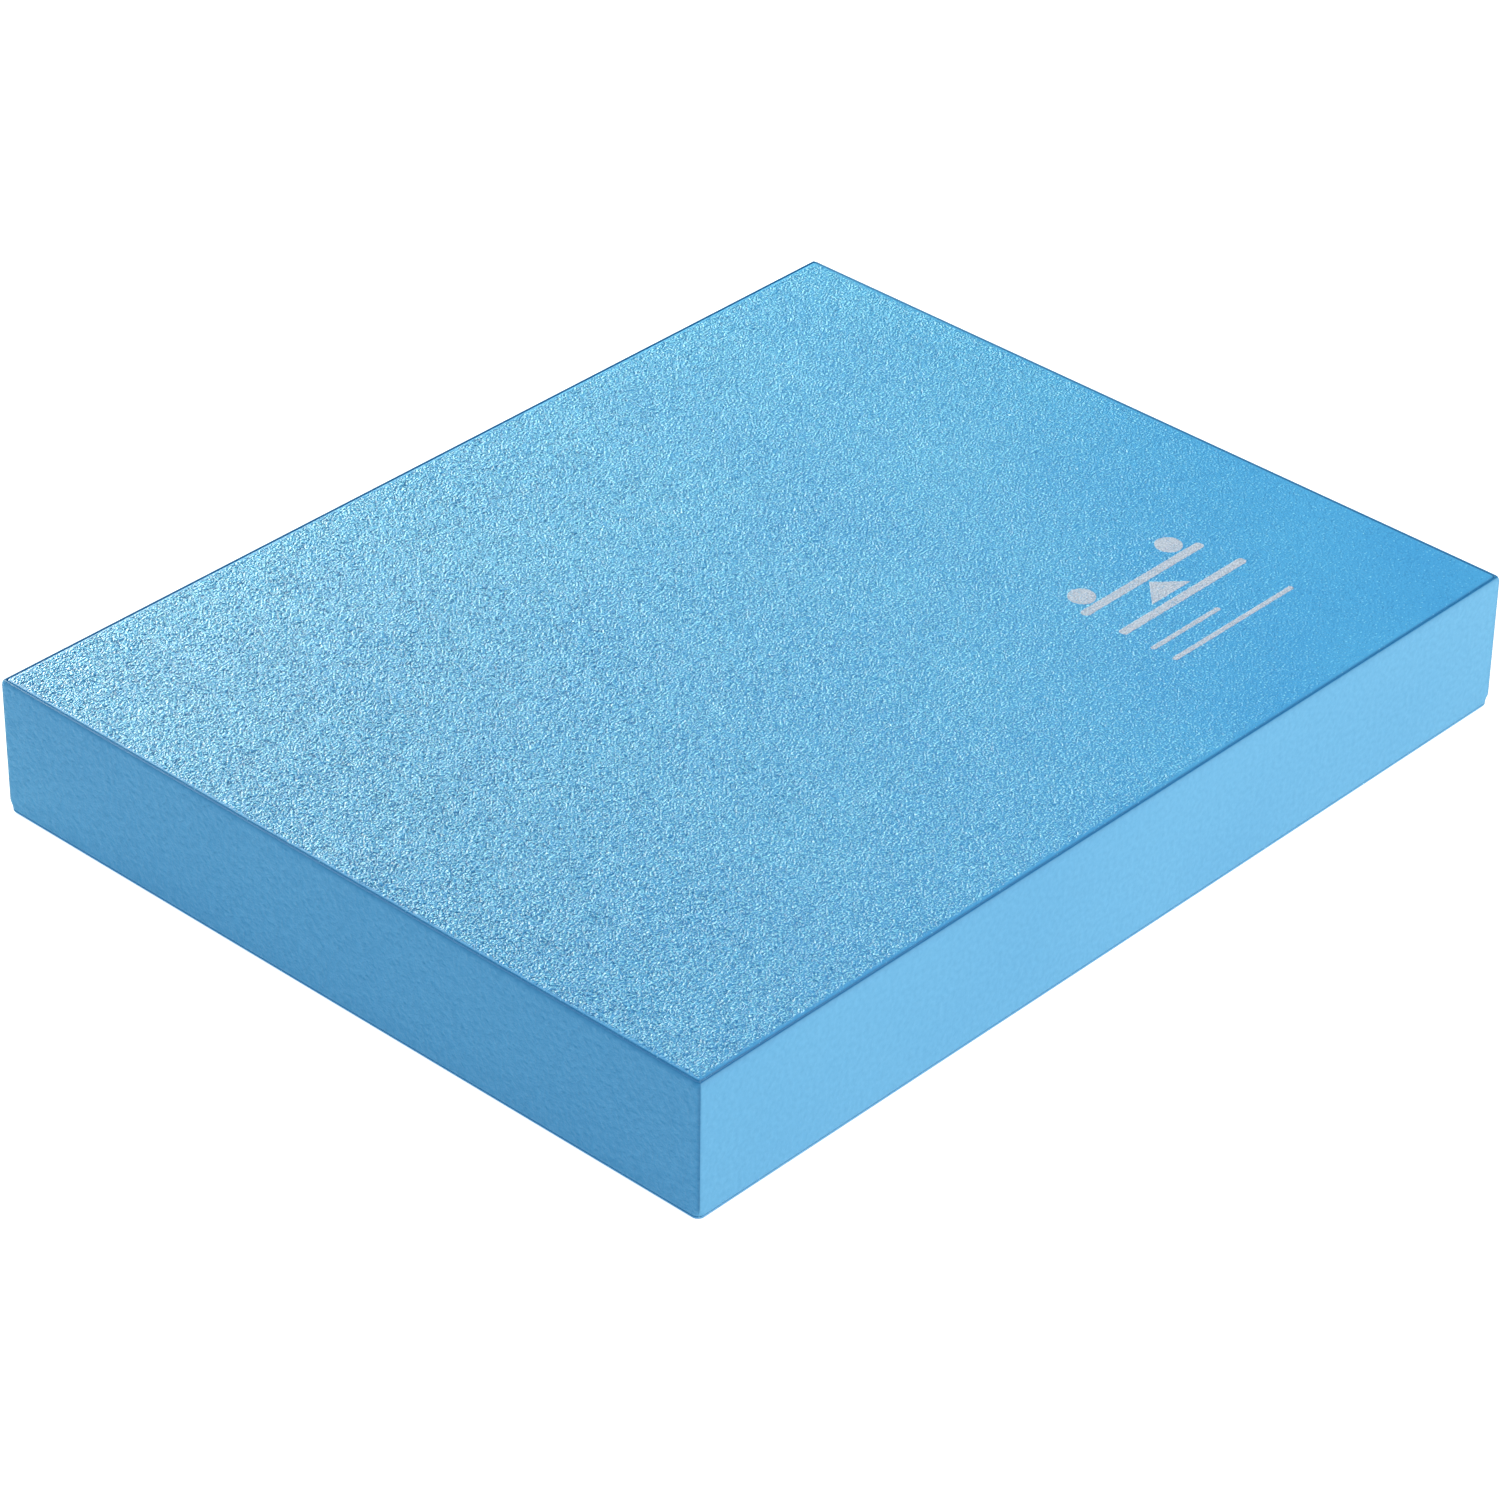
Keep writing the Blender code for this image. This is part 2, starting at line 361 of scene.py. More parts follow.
def bump(tree, shader, height, distance, strength=1.0):
    """Relief too fine for the mesh."""
    node = tree.nodes.new("ShaderNodeBump")
    node.inputs["Strength"].default_value = strength
    node.inputs["Distance"].default_value = distance
    tree.links.new(height, node.inputs["Height"])
    tree.links.new(node.outputs["Normal"], shader.inputs["Normal"])


BLUE = (0.070, 0.312, 0.555)
BLUE_PALE = (0.078, 0.328, 0.570)
BLUE_TOP = (0.055, 0.278, 0.535)
# The deepest blue is painted shade in grooves, at seams and in creases, and also the colour of the side
# skin's dark flecks. The palest blue is a painted highlight on the grain's raised tips.
BLUE_DEEP = (0.007, 0.125, 0.285)
BLUE_TIP_HIGHLIGHT = (0.270, 0.650, 0.790)
FOAM_DARK = (0.10, 0.38, 0.61)
FOAM_PALE = (0.16, 0.46, 0.68)
FILM_DARK = (0.50, 0.41, 0.25)
FILM_PALE = (0.62, 0.53, 0.36)
INK_DARK = (0.29, 0.29, 0.34)
INK_PALE = (0.58, 0.55, 0.61)
FLOOR_DARK = (0.34, 0.34, 0.34)
FLOOR_PALE = (0.36, 0.36, 0.36)
FLOOR_GLOW = 0.97

# Waves to the metre of the materials' patterns.
TOP_DRIFT = 14.0
TOP_FINE = 1120.0
SIDE_DRIFT = 9.0
SIDE_MOTTLE = 430.0
FOAM_CELLS = 1400.0
FILM_STREAKS = 120.0
INK_GRIT = 1300.0
FLOOR_CLOUD = 3.0

# Nearly all values of a noise lie in this span, and CENTRED makes a noise's mean zero.
NOISE_SPAN = (0.3, 0.7)
WHOLE = (0.0, 1.0)
CENTRED = (-0.5, 0.5)

# Where the raised tips fade out, fewer specks of the fine pattern take the painted highlight, by this much
# of its value.
TIP_HIGHLIGHT_LOSS = 0.20


def grained_skin():
    """The embossed skin: painted shade deepens its blue in its grooves and beside its seam, painted
    highlights make its finest raised tips pale, and it has a satin sheen.
    """
    made, tree, shader, place = new_material("skin_grain")
    drift = carry(tree, noise_at(tree, place, TOP_DRIFT, 3.0), NOISE_SPAN)
    tone = mix_colours(tree, drift, BLUE_TOP, BLUE)
    # Painted shade: deep in the grooves and beside the seam, the colour goes toward the deepest blue.
    painted_groove_shade = carry(tree, stored(tree, "groove_shade"), (0.06, 0.50), (0.0, 0.86))
    fine = noise_at(tree, place, TOP_FINE, 0.0, 0.5)
    relief = stored(tree, "relief")
    # Painted highlights: pale specks on the finest raised tips, fewer where the relief fades.
    highlight_specks = combined(tree, "ADD", fine, carry(tree, relief, WHOLE, (-TIP_HIGHLIGHT_LOSS, 0.0)))
    tip_highlight = carry(tree, highlight_specks, (0.54, 0.66), (0.0, 0.85))
    groove_shaded = mix_colours(tree, painted_groove_shade, tone, BLUE_DEEP)
    tree.links.new(mix_colours(tree, tip_highlight, groove_shaded, BLUE_TIP_HIGHLIGHT), shader.inputs["Base Color"])
    tree.links.new(carry(tree, fine, NOISE_SPAN, (0.40, 0.48)), shader.inputs["Roughness"])
    pebbles = carry(tree, fine, WHOLE, CENTRED)
    bump(tree, shader, combined(tree, "MULTIPLY", pebbles, relief), 1.0 * MM)
    return made


def smooth_skin():
    """The side skin: matt, with a very fine uneven surface and a faint mottle, and painted shade that
    deepens it at its seam and at the creases of its corners.
    """
    made, tree, shader, place = new_material("skin_smooth")
    drift = carry(tree, noise_at(tree, place, SIDE_DRIFT), NOISE_SPAN)
    mottle = noise_at(tree, place, SIDE_MOTTLE, 3.0, 0.55)
    tone = mix_colours(tree, drift, BLUE, BLUE_PALE)
    flecked = mix_colours(tree, carry(tree, mottle, (0.35, 0.75), (0.0, 0.18)), tone, BLUE_DEEP)
    # Painted shade toward the seam and the corners' creases.
    seam_shaded = mix_colours(tree, stored(tree, "groove_shade"), flecked, BLUE_DEEP)
    tree.links.new(seam_shaded, shader.inputs["Base Color"])
    tree.links.new(carry(tree, mottle, NOISE_SPAN, (0.52, 0.62)), shader.inputs["Roughness"])
    shader.inputs["Specular IOR Level"].default_value = 0.35
    pebbles = carry(tree, mottle, WHOLE, CENTRED)
    bump(tree, shader, combined(tree, "MULTIPLY", pebbles, stored(tree, "relief")), 1.0 * MM)
    return made


def cut_foam():
    """Foam inside the skins: paler, matt, with its cut cells showing as fine pits, each darker toward its
    middle by painted shade.
    """
    made, tree, shader, place = new_material("foam_cells")
    pits = tree.nodes.new("ShaderNodeTexVoronoi")
    pits.inputs["Scale"].default_value = FOAM_CELLS
    tree.links.new(place, pits.inputs["Vector"])
    depth = pits.outputs["Distance"]
    # Painted shade: each pit is darker toward its middle.
    paler = carry(tree, depth, (0.1, 0.6))
    tree.links.new(mix_colours(tree, paler, FOAM_DARK, FOAM_PALE), shader.inputs["Base Color"])
    tree.links.new(carry(tree, depth, (0.0, 0.6), (0.85, 0.95)), shader.inputs["Roughness"])
    bump(tree, shader, depth, 0.15 * MM, 0.8)
    return made


def bonding_film():
    """A thin amber film of glue, a little streaked."""
    made, tree, shader, place = new_material("bonding_film")
    streak = noise_at(tree, place, FILM_STREAKS, 4.0, 0.6)
    share = carry(tree, streak, NOISE_SPAN)
    tree.links.new(mix_colours(tree, share, FILM_DARK, FILM_PALE), shader.inputs["Base Color"])
    tree.links.new(carry(tree, streak, NOISE_SPAN, (0.30, 0.50)), shader.inputs["Roughness"])
    bump(tree, shader, streak, 0.05 * MM, 0.5)
    return made


def stamped_ink():
    """Pale ink, gritty, and thin where it missed the bottom of the grooves."""
    made, tree, shader, place = new_material("stamped_ink")
    grit = noise_at(tree, place, INK_GRIT, 2.0, 0.6)
    share = carry(tree, grit, (0.35, 0.65))
    tone = mix_colours(tree, share, INK_DARK, INK_PALE)
    thin = carry(tree, stored(tree, "groove_shade"), (0.35, 0.9), (0.0, 0.8))
    tree.links.new(mix_colours(tree, thin, tone, BLUE), shader.inputs["Base Color"])
    tree.links.new(carry(tree, grit, NOISE_SPAN, (0.50, 0.65)), shader.inputs["Roughness"])
    bump(tree, shader, grit, 0.04 * MM, 0.5)
    return made


def pale_floor():
    """A plain floor that gives off light, as a lit table does, so that it is white with faint shadows."""
    made, tree, shader, place = new_material("floor_white")
    cloud = noise_at(tree, place, FLOOR_CLOUD)
    tree.links.new(mix_colours(tree, cloud, FLOOR_DARK, FLOOR_PALE), shader.inputs["Base Color"])
    shader.inputs["Emission Color"].default_value = (1.0, 1.0, 1.0, 1.0)
    shader.inputs["Emission Strength"].default_value = FLOOR_GLOW
    shader.inputs["Roughness"].default_value = 0.9
    shader.inputs["Specular IOR Level"].default_value = 0.1
    return made


# ---------------------------------------------------------------- broad faces

# The top sheet sinks toward its seam, and a lip at its very edge turns down further.
ROLL_WIDTH = 1.6 * MM
ROLL_DEPTH = 0.30 * MM
LIP_WIDTH = 0.5 * MM
LIP_DEPTH = 0.35 * MM

# Over what distance from the top sheet's edge its grain, its fine pattern and the painted shade in its
# grooves come in, and how far the painted shade beside the seam reaches.
GRAIN_FADE = (0.4 * MM, 2.4 * MM)
FINE_FADE = (0.6 * MM, 2.6 * MM)
GROOVE_FADE = (0.2 * MM, 1.6 * MM)
SEAM_SHADE_REACH = 1.1 * MM
SEAM_SHADE = 0.35

BOTTOM_EDGE_RADIUS = 1.2 * MM
BOTTOM_EDGE_POINTS = 7
BOTTOM_FADE = (0.3 * MM, 2.5 * MM)

# The cut edges at the joint between the underside and the side panels are broken by this much.
BEVEL = 0.1 * MM


def roll_off(distance):
    """How far the top sheet has sunk at each distance from its seam."""
    share = np.clip(1.0 - distance / ROLL_WIDTH, 0.0, 1.0)
    lip = np.clip(1.0 - distance / LIP_WIDTH, 0.0, 1.0)
    return ROLL_DEPTH * share ** 2.2 + LIP_DEPTH * lip ** 2


class TopSheet:
    """The top sheet's surface: its grid of points, with its height at any other place."""

    def __init__(self, seed):
        self.half_x = HALF_X - SEAM_INSET
        self.half_y = HALF_Y - SEAM_INSET
        self.radius = TOP_CORNER_RADIUS
        self.x, self.y = rounded_grid(self.half_x, self.half_y, self.radius, TOP_STEP)
        inset = inset_of(self.x, self.y, self.half_x, self.half_y, self.radius)
        height, groove_shade = grain(self.x, self.y, seed)
        self.z = TOP_Z + height * smoothstep(*GRAIN_FADE, inset) - roll_off(inset)
        pressed = 1.0 - FINE_LOSS * smoothstep(*FINE_SPAN, self.x - self.y)
        self.relief = smoothstep(*FINE_FADE, inset) * pressed
        # Painted shade beside the seam, over the grooves' painted shade.
        seam_shade = SEAM_SHADE * (1 - smoothstep(0.0, SEAM_SHADE_REACH, inset))
        self.groove_shade = np.maximum(groove_shade * smoothstep(*GROOVE_FADE, inset), seam_shade)

    def at(self, x, y):
        """Height and groove shade at places inside the corners, between the grid's points."""
        rows, columns = self.z.shape
        column = (x + self.half_x) / (2 * self.half_x) * (columns - 1)
        row = (y + self.half_y) / (2 * self.half_y) * (rows - 1)
        j = np.clip(column.astype(int), 0, columns - 2)
        i = np.clip(row.astype(int), 0, rows - 2)
        share_x = column - j
        share_y = row - i
        found = []
        for values in (self.z, self.groove_shade):
            low = values[i, j] * (1 - share_x) + values[i, j + 1] * share_x
            high = values[i + 1, j] * (1 - share_x) + values[i + 1, j + 1] * share_x
            found.append(low * (1 - share_y) + high * share_y)
        return found


def make_top_sheet(sheet, material):
    """The top sheet, closed below by a flat face."""
    shape = Shape()
    points = np.stack([sheet.x, sheet.y, sheet.z], -1)
    surface = shape.add_points(points, sheet.groove_shade, sheet.relief)
    shape.add_grid(surface)
    ring = rim_of(surface)
    below = np.stack([rim_of(sheet.x), rim_of(sheet.y), np.full(ring.shape, TOP_Z - SKIN)], -1)
    # The sheet's edge, down in the seam, and its underside take the full painted shade.
    under = shape.add_points(below, 1.0)
    shape.add_band(ring, under)
    shape.add_polygon(under[::-1])
    return shape.make("top_skin_grain", material, "top_skin")


def make_bottom_sheet(seed, material):
    """The underside: a thin grained sheet with a rounded edge."""
    low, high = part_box("bottom_skin")
    edge = BOTTOM_EDGE_RADIUS
    half_x = HALF_X - edge
    half_y = HALF_Y - edge
    radius = CORNER_RADIUS - edge
    x, y = rounded_grid(half_x, half_y, radius, BOTTOM_STEP)
    height, groove_shade = grain(x, y, seed)
    fade = smoothstep(*BOTTOM_FADE, inset_of(x, y, half_x, half_y, radius))
    shape = Shape()
    # The underside's grooves carry painted shade too, faded in from the edge.
    surface = shape.add_points(np.stack([x, y, low.z - height * fade], -1), groove_shade * fade, fade)
    shape.add_grid(surface, flip=True)
    rim_x = rim_of(x)
    rim_y = rim_of(y)
    out_x, out_y = outward_of(rim_x, rim_y, half_x, half_y, radius)
    ring = rim_of(surface)
    turns = np.linspace(0, pi / 2, BOTTOM_EDGE_POINTS)[1:]
    section = [(edge * sin(turn), edge * (1 - cos(turn))) for turn in turns]
    section += [(edge, high.z - low.z - BEVEL), (edge - BEVEL, high.z - low.z)]
    for out, up in section:
        points = np.stack([rim_x + out_x * out, rim_y + out_y * out, np.full(ring.shape, low.z + up)], -1)
        after = shape.add_points(points)
        shape.add_band(after, ring)
        ring = after
    shape.add_polygon(ring)
    return shape.make("bottom_skin_grain", material, "bottom_skin")


# ---------------------------------------------------------------- side panels

# The left and right panels turn by this much before the crease at each corner, over this distance.
CORNER_TURN = radians(22)
CORNER_REACH = 2.8 * MM
CORNER_STEPS = 12

# The panels lean in over their last LEAN_HEIGHT, and then round over to the seam from ROUND_START below
# the top. Each step of the rounding is (down from the top, share of the way in to the seam).
LEAN_HEIGHT = 3.0 * MM
LEAN = 0.60 * MM
LEAN_STEPS = 14
ROUND_START = 0.35 * MM
ROUND_STEPS = ((0.18 * MM, 0.30), (0.12 * MM, 0.55), (0.22 * MM, 0.85), (0.6 * MM, 1.0), (1.3 * MM, 1.0))

# Down the inside, the section has a row of points INNER_TOP below the top, and then INNER_ROWS of them from
# INNER_HIGH below the top to INNER_LOW above the foot.
INNER_TOP = 1.8 * MM
INNER_HIGH = 8 * MM
INNER_LOW = 2 * MM
INNER_ROWS = 7

# Painted shade darkens the panels toward the seam and toward the crease at each corner, by this much over
# this distance.
PANEL_SEAM_SHADE = 0.60
PANEL_SEAM_SHADE_REACH = 0.9 * MM
CREASE_SHADE = 0.5
CREASE_SHADE_REACH = 1.1 * MM

# The fold beside the crease at each corner, and the gap that each panel keeps from the crease.
FOLD_DEPTH = 0.10 * MM
FOLD_WIDTH = 0.22 * MM
CORNER_GAP = 0.03 * MM

# The corners are round at the foot, and become creased over this height.
FOOT_HEIGHT = 4 * MM

# The panels bulge and sink by a hair, except at their ends, top and foot, over these distances.
WAVE_HEIGHT = 0.08 * MM
WAVE_PITCH = 40 * MM
RIPPLE_HEIGHT = 0.015 * MM
RIPPLE_PITCH = 3.4 * MM
CALM_END = 8 * MM
CALM_TOP = 6 * MM
CALM_FOOT = 4 * MM

# The fine pattern comes in over this distance below the top. It is weaker on the long panels.
PANEL_FADE = (0.6 * MM, 3.0 * MM)
LONG_PANEL_FINE = 0.2

# The panels, the direction in which each one faces, and whether it turns before the corner's crease.
SIDES = {
    "side_skin_front": (0.0, False),
    "side_skin_right": (pi / 2, True),
    "side_skin_back": (pi, False),
    "side_skin_left": (-pi / 2, True),
}


def corner_ends(turns_in):
    """Two ways round the corner at a panel's end, each as (short of the sharp corner, in from the side).

    The first is up to the crease, and the second is half of a rounded corner, up to its diagonal.
    """
    radius = CORNER_REACH / sin(CORNER_TURN)
    tip = radius * (1 - cos(CORNER_TURN))
    shares = [step / CORNER_STEPS for step in range(1, CORNER_STEPS + 1)]
    start = CORNER_RADIUS
    if turns_in:
        creased = []
        for share in shares:
            short = start * (1 - share)
            turn = np.arcsin(max(CORNER_REACH - short, 0.0) / radius)
            creased.append((short, radius * (1 - cos(turn))))
    else:
        creased = [(start + (tip - start) * share, 0.0) for share in shares]
    rounded = []
    for share in shares:
        turn = share * pi / 4
        rounded.append((start - start * sin(turn), start - start * cos(turn)))
    return np.array(creased), np.array(rounded)


def panel_section(low_z, high_z):
    """z, inset and groove shade round a side panel's section, from the foot of its face up and round. The
    groove shade is painted shade near the seam outside, and full on the hidden inside.
    """
    face_end = high_z - LEAN_HEIGHT
    face = np.linspace(low_z + BEVEL, face_end, round((face_end - low_z) / SIDE_STEP))
    lean = np.linspace(LEAN_HEIGHT, ROUND_START, LEAN_STEPS)[1:]
    lean_in = LEAN * (1 - lean / LEAN_HEIGHT) ** 2
    rows = [(low_z, BEVEL)]
    rows += [(z, 0.0) for z in face]
    rows += [(high_z - down, inset) for down, inset in zip(lean, lean_in)]
    last = lean_in[-1]
    to_seam = SEAM_INSET - last
    rows += [(high_z - down, last + share * to_seam) for down, share in ROUND_STEPS]
    rows += [(high_z - INNER_TOP, SKIN)]
    rows += [(z, SKIN) for z in np.linspace(high_z - INNER_HIGH, low_z + INNER_LOW, INNER_ROWS)]
    rows += [(low_z, SKIN)]
    z, inset = np.array(rows).T
    outside = np.arange(len(z)) < 1 + len(face) + len(lean)
    # Painted shade darkens the outside toward the seam, and the hidden inside takes it in full.
    panel_seam_shade = np.exp(-(high_z - z) / PANEL_SEAM_SHADE_REACH) * PANEL_SEAM_SHADE
    groove_shade = np.where(outside, panel_seam_shade, 1.0)
    return z, inset, groove_shade, outside


def side_panel(node, turn, turns_in, seed, material):
    """A side skin, drawn facing -Y and then turned."""
    low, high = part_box(node)
    along_x = abs(cos(turn)) > 0.5
    half_run = HALF_X if along_x else HALF_Y
    reach = HALF_Y if along_x else HALF_X
    creased, rounded = corner_ends(turns_in)
    z, section_in, groove_shade, outside = panel_section(low.z, high.z)
    straight = half_run - CORNER_RADIUS
    middle = np.linspace(-straight, straight, round(2 * straight / SIDE_STEP) + 1)

    soft = (1 - smoothstep(low.z, low.z + FOOT_HEIGHT, z))[:, None]
    short = creased[None, :, 0] * (1 - soft) + rounded[None, :, 0] * soft
    inward = creased[None, :, 1] * (1 - soft) + rounded[None, :, 1] * soft
    reach_of_end = CORNER_RADIUS - short[:, -1:]
    squeeze = (reach_of_end - section_in[:, None] - CORNER_GAP) / reach_of_end
    end_run = straight + (CORNER_RADIUS - short) * squeeze
    fold = np.exp(-(((end_run[:, -1:] - end_run) / FOLD_WIDTH) ** 2)) * FOLD_DEPTH
    inward = inward + fold * (1 - soft)
    middle_shape = (len(z), len(middle))
    run = np.concatenate([-end_run[:, ::-1], np.broadcast_to(middle, middle_shape), end_run], 1)
    corner_in = np.concatenate([inward[:, ::-1], np.zeros(middle_shape), inward], 1)

    z_grid = np.broadcast_to(z[:, None], run.shape)
    calm = smoothstep(0.0, CALM_END, half_run - np.abs(run)) * outside[:, None]
    calm = calm * smoothstep(0.0, CALM_TOP, high.z - z_grid) * smoothstep(0.0, CALM_FOOT, z_grid - low.z)
    wave = value_noise(run, z_grid, WAVE_PITCH, seed) * WAVE_HEIGHT + WAVE_HEIGHT
    ripple = value_noise(run, z_grid, RIPPLE_PITCH, seed + 1) * RIPPLE_HEIGHT
    depth = section_in[:, None] + corner_in + (wave + ripple) * calm
    points = np.stack([run, depth - reach, z_grid], -1) @ np.array(Matrix.Rotation(turn, 3, "Z")).T
    # Painted shade toward the crease at each corner, gone where the corner is round at the foot.
    near_crease = np.exp(-(((half_run - np.abs(run)) / CREASE_SHADE_REACH) ** 2))
    crease_shade = near_crease * (1 - soft) * CREASE_SHADE
    fine = smoothstep(*PANEL_FADE, high.z - z_grid) * (1.0 if turns_in else LONG_PANEL_FINE)
    shape = Shape()
    index = shape.add_points(points, np.maximum(groove_shade[:, None], crease_shade), fine)
    shape.add_grid(np.concatenate([index, index[:1]], 0))
    shape.add_polygon(index[:, -1])
    shape.add_polygon(index[::-1, 0])
    return shape.make(node + "_panel", material, node)


# ---------------------------------------------------------------- foam core

FOAM_STEP = 4 * MM
FOAM_RINGS = 8
FOAM_EDGE = 0.3 * MM
FOAM_UNEVENNESS = 0.05 * MM
FOAM_PITCH = 18 * MM


def foam_slab(node, seed, material):
    """A slab of foam, cut all round, with a very slightly uneven surface."""
    low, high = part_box(node)
    edge = FOAM_EDGE
    half_x = high.x - edge
    half_y = high.y - edge
    radius = CORNER_RADIUS - (HALF_X - high.x) - edge
    x, y = rounded_grid(half_x, half_y, radius, FOAM_STEP)
    top = high.z - FOAM_UNEVENNESS + value_noise(x, y, FOAM_PITCH, seed) * FOAM_UNEVENNESS
    bottom = low.z + FOAM_UNEVENNESS + value_noise(x, y, FOAM_PITCH, seed + 1) * FOAM_UNEVENNESS
    shape = Shape()
    upper = shape.add_points(np.stack([x, y, top], -1))
    lower = shape.add_points(np.stack([x, y, bottom], -1))
    shape.add_grid(upper)
    shape.add_grid(lower, flip=True)
    rim_x = rim_of(x)
    rim_y = rim_of(y)
    out_x, out_y = outward_of(rim_x, rim_y, half_x, half_y, radius)
    ring = rim_of(upper)
    for z in np.linspace(high.z - edge, low.z + edge, FOAM_RINGS):
        points = np.stack([rim_x + out_x * edge, rim_y + out_y * edge, np.full(ring.shape, z)], -1)
        after = shape.add_points(points)
        shape.add_band(ring, after)
        ring = after
    shape.add_band(ring, rim_of(lower))
    made = shape.make(node + "_foam", material, node)
    return made


# ---------------------------------------------------------------- ink

# The ink stands this far over the sheet's surface and reaches this far below it. Its edges are ragged by
# RAGGED, with a new value at each RAGGED_PITCH. RAGGED_APART keeps the two edges apart in the noise.
INK_LIFT = 0.035 * MM
INK_DEPTH = 0.10 * MM
RAGGED = 0.09 * MM
RAGGED_PITCH = 0.9 * MM
RAGGED_APART = 5 * MM

# An island has at least this many points along and across it. They bunch toward its ends, and the first and
# last stay a hair inside them, where the outline would come to nothing.
INK_LEAST_ROWS = 24
INK_LEAST_COLUMNS = 6
INK_ENDS = (0.04, 0.96)


def ink_island(node, half_width, upright, seed, material, sheet):
    """An island of ink on the top sheet. half_width(at, length) gives its half width along its length."""
    low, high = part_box(node)
    centre = (low + high) / 2
    start, stop = (low.y, high.y) if upright else (low.x, high.x)
    length = stop - start
    count = max(int(length / INK_STEP), INK_LEAST_ROWS)
    shares = (1 - np.cos(np.linspace(*INK_ENDS, count) * pi)) / 2
    widths = np.array([half_width(share * length, length) for share in shares])
    columns = max(int(2 * widths.max() / INK_STEP), INK_LEAST_COLUMNS)
    across = np.linspace(-1.0, 1.0, columns + 1)
    along = np.repeat(start + shares[:, None] * length, len(across), 1)
    edge_place = np.repeat(np.sign(across)[None, :] * RAGGED_APART, count, 0)
    ragged = RAGGED * value_noise(along, edge_place, RAGGED_PITCH, seed)
    aside = across[None, :] * (widths[:, None] + ragged)
    x, y = (centre.x + aside, along) if upright else (along, centre.y + aside)
    level, groove_shade = sheet.at(x, y)
    shape = Shape()
    upper = shape.add_points(np.stack([x, y, level + INK_LIFT], -1), groove_shade)
    lower = shape.add_points(np.stack([x, y, level - INK_DEPTH], -1), groove_shade)
    shape.add_grid(upper, flip=not upright)
    shape.add_grid(lower, flip=upright)
    if upright:
        shape.add_band(rim_of(upper), rim_of(lower))
    else:
        shape.add_band(rim_of(lower), rim_of(upper))
    return shape.make(node + "_ink", material, node)


def bar_width(height):
    """Half width of a bar with round ends."""
    half = height / 2

    def width(at, length):
        to_end = min(at, length - at, half)
        return (half * half - (half - to_end) ** 2) ** 0.5

    return width


def disc_width(at, length):
    """Half width of a disc."""
    return max(at * (length - at), 0.0) ** 0.5


def triangle_width(base):
    """Half width of a triangle that stands on its base."""
    return lambda at, length: base / 2 * (1 - at / length)


# ---------------------------------------------------------------- the pad

# Where the pieces' random numbers start.
TOP_SEED = 11
BOTTOM_SEED = 57
PANEL_SEED = 100
FOAM_SEED = 200
BAR_SEED = 300
DISC_SEED = 310
PIVOT_SEED = 320

grain_finish = grained_skin()
sheet = TopSheet(TOP_SEED)
make_top_sheet(sheet, grain_finish)
underside = make_bottom_sheet(BOTTOM_SEED, grain_finish)

side_finish = smooth_skin()
panels = {}
for number, (node, (turn, turns_in)) in enumerate(SIDES.items()):
    panels[node] = side_panel(node, turn, turns_in, PANEL_SEED + 10 * number, side_finish)

foam_finish = cut_foam()
for number, node in enumerate(("foam_slab_lower", "foam_slab_middle", "foam_slab_upper")):
    foam_slab(node, FOAM_SEED + 10 * number, foam_finish)

film_finish = bonding_film()
for node in ("bond_film_lower", "bond_film_upper"):
    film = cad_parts[node]
    film.data.materials.clear()
    film.data.materials.append(film_finish)

ink_finish = stamped_ink()
for number, node in enumerate(("print_beam", "print_line_wide", "print_line_short", "print_line_long")):
    low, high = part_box(node)
    ink_island(node, bar_width(high.y - low.y), False, BAR_SEED + number, ink_finish, sheet)
for number, node in enumerate(("print_disc_left", "print_disc_right")):
    ink_island(node, disc_width, False, DISC_SEED + number, ink_finish, sheet)
low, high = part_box("print_pivot")
ink_island("print_pivot", triangle_width(high.x - low.x), True, PIVOT_SEED, ink_finish, sheet)


# ---------------------------------------------------------------- studio

FLOOR_HALF = 4.0
FLOOR_DROP = 0.2 * MM

# The lights are tinted: warm behind and in front, cool above, and blue all round.
WARM = (1.0, 0.93, 0.69)
AMBER = (1.0, 0.52, 0.31)
COOL = (0.80, 0.81, 0.97)
WORLD_STRENGTH = 0.60
WORLD_TINT = (0.18, 0.75, 1.0)

# The camera, level apart from a slight roll. Its azimuth is 0 where it looks along +Y.
CAMERA_AIM = (-0.0358, -0.0264, 0.0330)
CAMERA_AZIMUTH = radians(47.39)
CAMERA_ELEVATION = radians(33.93)
CAMERA_ROLL = radians(0.79)
CAMERA_DISTANCE = 2.395
CAMERA_LENS = 137.17


def make_floor():
    """A wide pale floor, a hair below the pad."""
    corners = [(-FLOOR_HALF, -FLOOR_HALF, 0), (FLOOR_HALF, -FLOOR_HALF, 0)]
    corners += [(FLOOR_HALF, FLOOR_HALF, 0), (-FLOOR_HALF, FLOOR_HALF, 0)]
    mesh = bpy.data.meshes.new("floor")
    mesh.from_pydata(corners, [], [(0, 1, 2, 3)])
    mesh.materials.append(pale_floor())
    floor = bpy.data.objects.new("floor", mesh)
    floor.location.z = -FLOOR_DROP
    bpy.context.scene.collection.objects.link(floor)


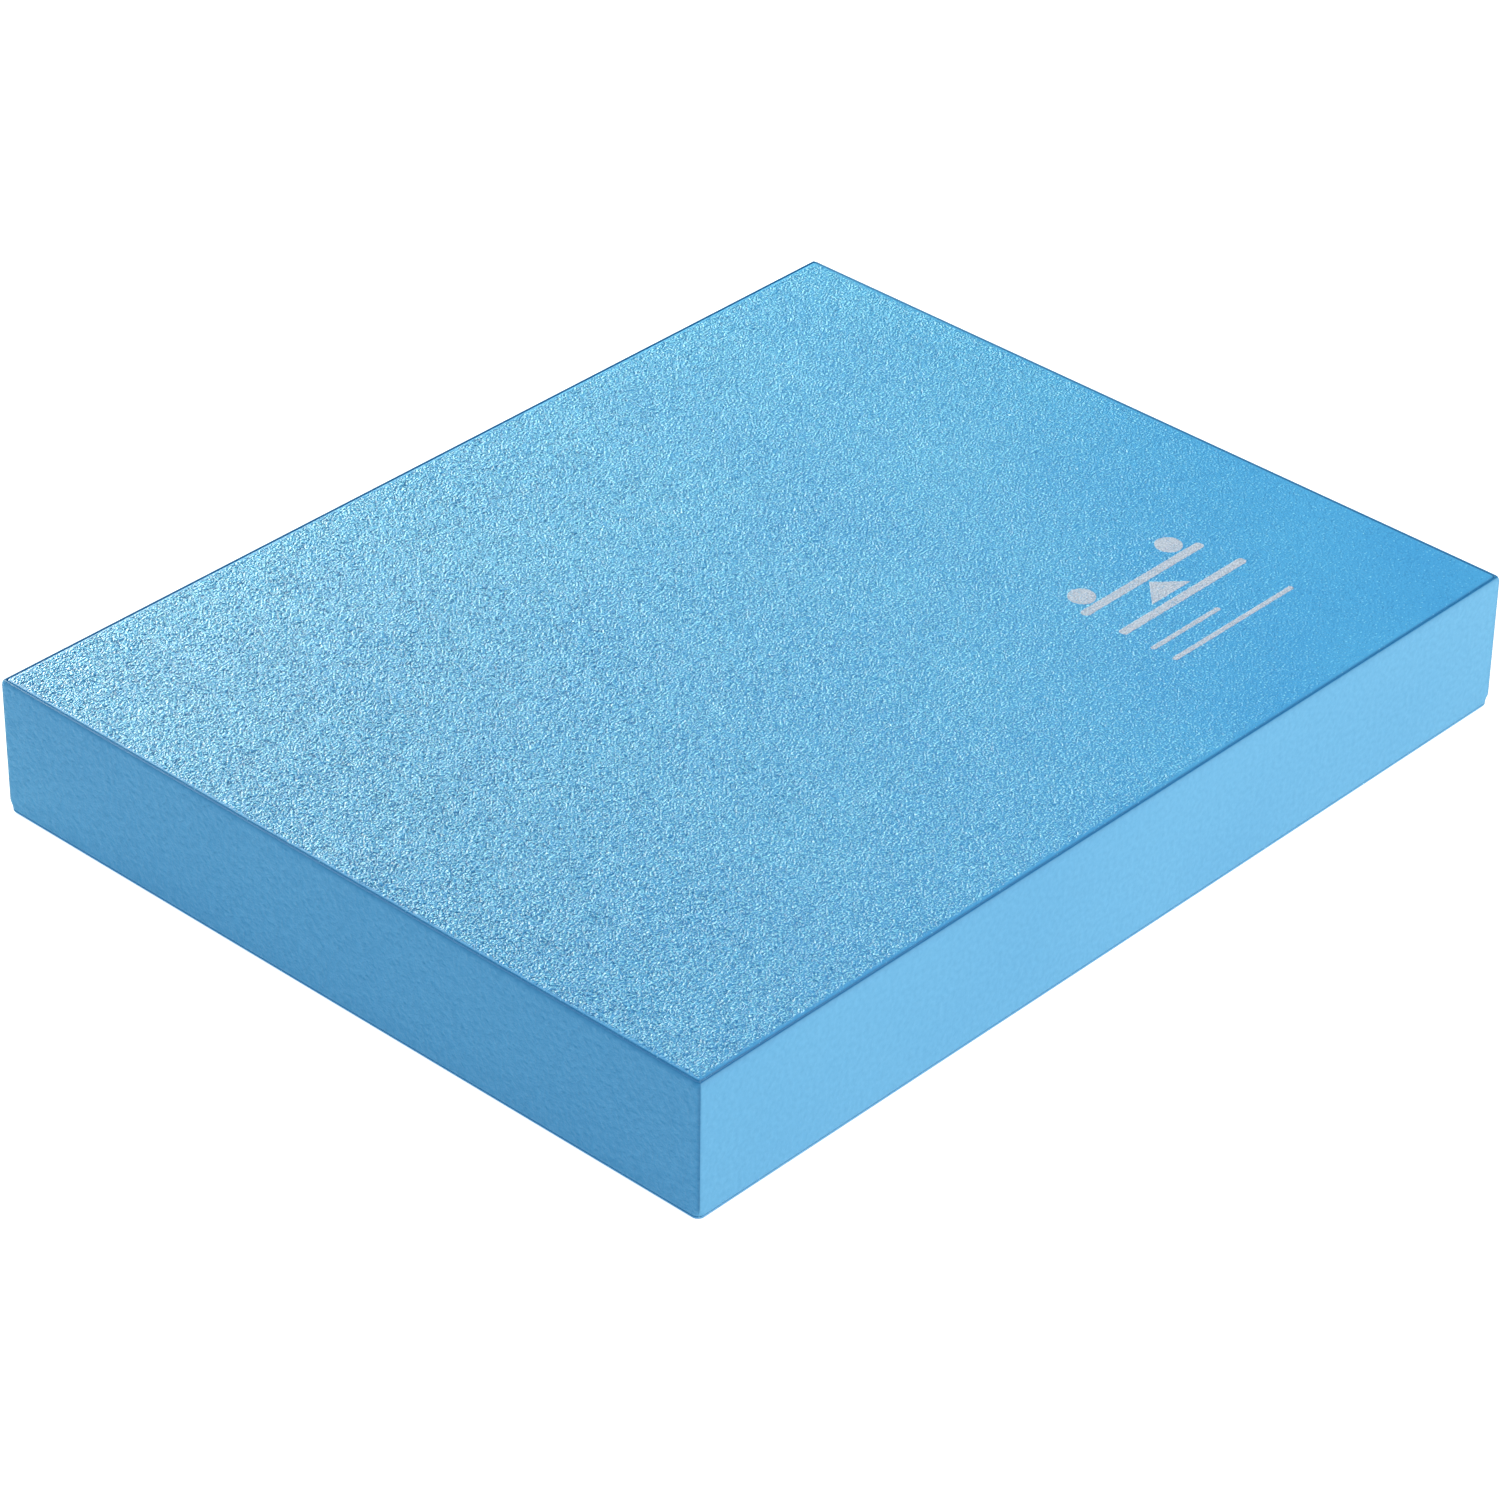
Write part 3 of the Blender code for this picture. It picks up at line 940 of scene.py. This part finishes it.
def area_light(name, place, aim, size, power, colour):
    """A soft rectangular light that faces aim."""
    data = bpy.data.lights.new(name, "AREA")
    data.color = colour
    data.shape = "RECTANGLE"
    data.size, data.size_y = size
    data.energy = power
    lamp = bpy.data.objects.new(name, data)
    lamp.location = place
    lamp.visible_camera = False
    lamp.rotation_euler = (Vector(aim) - Vector(place)).to_track_quat("-Z", "Y").to_euler()
    bpy.context.scene.collection.objects.link(lamp)
    return lamp


def keep_off(lamp, pieces):
    """Keeps a light off some pieces, as a dark card on a stand would."""
    shaded = bpy.data.collections.new(lamp.name + "_kept_off")
    for piece in pieces:
        shaded.objects.link(piece)
    for entry in shaded.collection_objects:
        entry.light_linking.link_state = "EXCLUDE"
    lamp.light_linking.receiver_collection = shaded


def make_world():
    """An even surround, tinted blue."""
    world = bpy.data.worlds.new("studio")
    world.use_nodes = True
    world.node_tree.nodes["Background"].inputs["Color"].default_value = (*WORLD_TINT, 1.0)
    world.node_tree.nodes["Background"].inputs["Strength"].default_value = WORLD_STRENGTH
    bpy.context.scene.world = world


def make_camera():
    """The camera, which looks down over the pad's corner at -x, -y."""
    data = bpy.data.cameras.new("camera")
    data.lens = CAMERA_LENS
    data.clip_start = 0.05
    camera = bpy.data.objects.new("camera", data)
    flat = cos(CAMERA_ELEVATION)
    back = Vector((-flat * sin(CAMERA_AZIMUTH), -flat * cos(CAMERA_AZIMUTH), sin(CAMERA_ELEVATION)))
    place = Matrix.Translation(Vector(CAMERA_AIM) + CAMERA_DISTANCE * back)
    level = back.to_track_quat("Z", "Y").to_matrix().to_4x4()
    camera.matrix_world = place @ level @ Matrix.Rotation(CAMERA_ROLL, 4, "Z")
    bpy.context.scene.collection.objects.link(camera)
    bpy.context.scene.camera = camera


make_floor()
make_world()
area_light("softbox_back_left", (0.48, 1.33, 0.96), (-0.10, 0.03, 0.06), (0.75, 0.50), 9.0, WARM)
area_light("softbox_front", (0.55, -2.10, 0.50), (0.05, -0.2, 0.03), (1.4, 0.8), 52.0, AMBER)
area_light("softbox_above", (0.10, -0.80, 1.40), (0.0, -0.2, 0.06), (1.0, 1.0), 10.5, COOL)
low_light = area_light("softbox_low", (0.03, 1.35, 0.50), (-0.10, 0.0, 0.06), (0.62, 0.36), 37.0, WARM)
keep_off(low_light, [panels["side_skin_back"], underside])
make_camera()
bpy.context.scene.view_settings.view_transform = "Standard"
